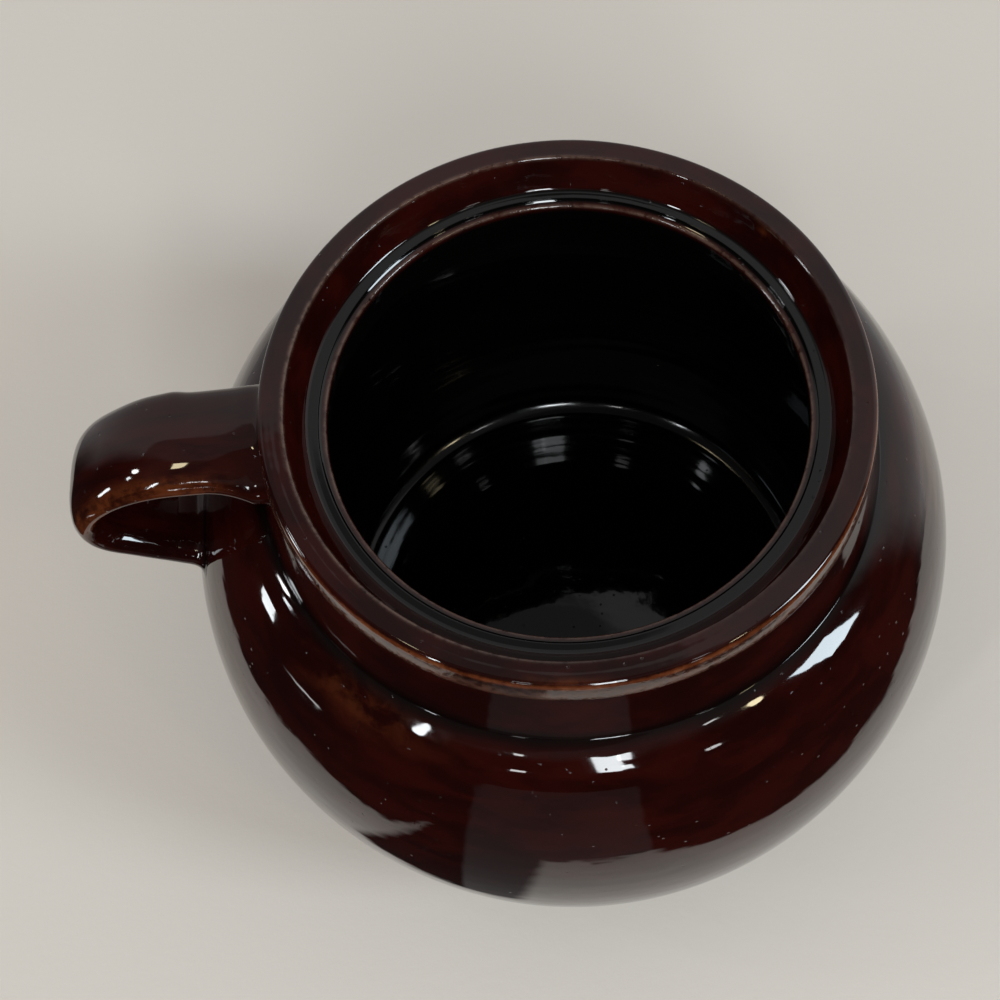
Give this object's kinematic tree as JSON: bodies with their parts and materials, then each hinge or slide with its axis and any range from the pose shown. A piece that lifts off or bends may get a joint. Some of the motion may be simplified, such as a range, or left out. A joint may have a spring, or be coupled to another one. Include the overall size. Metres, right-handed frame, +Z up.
{
  "type": "stoneware bean pot",
  "caption": "Open round-bellied stoneware pot with a collared rim, a gallery for a lift-off lid, and a strap handle luted to its neck and shoulder.",
  "frame": {"origin": "centre of the foot, on the plane that the pot stands on", "axes": "+Z up along the pot's turning axis; -X towards the strap handle; +Y completes the right-handed frame"},
  "size_m": [0.2163, 0.196, 0.15],
  "materials": {
    "glazed_stoneware": "thick gloss glaze, dark treacle brown breaking to orange brown on thin edges; bare clay foot ring",
    "glazed_stoneware_handle": "the same gloss glaze, orange brown along the strap's edges",
    "glazed_stoneware_lute": "the same gloss glaze, pooled dark in the joints"
  },
  "bodies": {
    "root": {"pot_body": "glazed_stoneware", "handle": "glazed_stoneware_handle", "upper_lute": "glazed_stoneware_lute", "lower_lute": "glazed_stoneware_lute"}
  },
  "joints": []
}
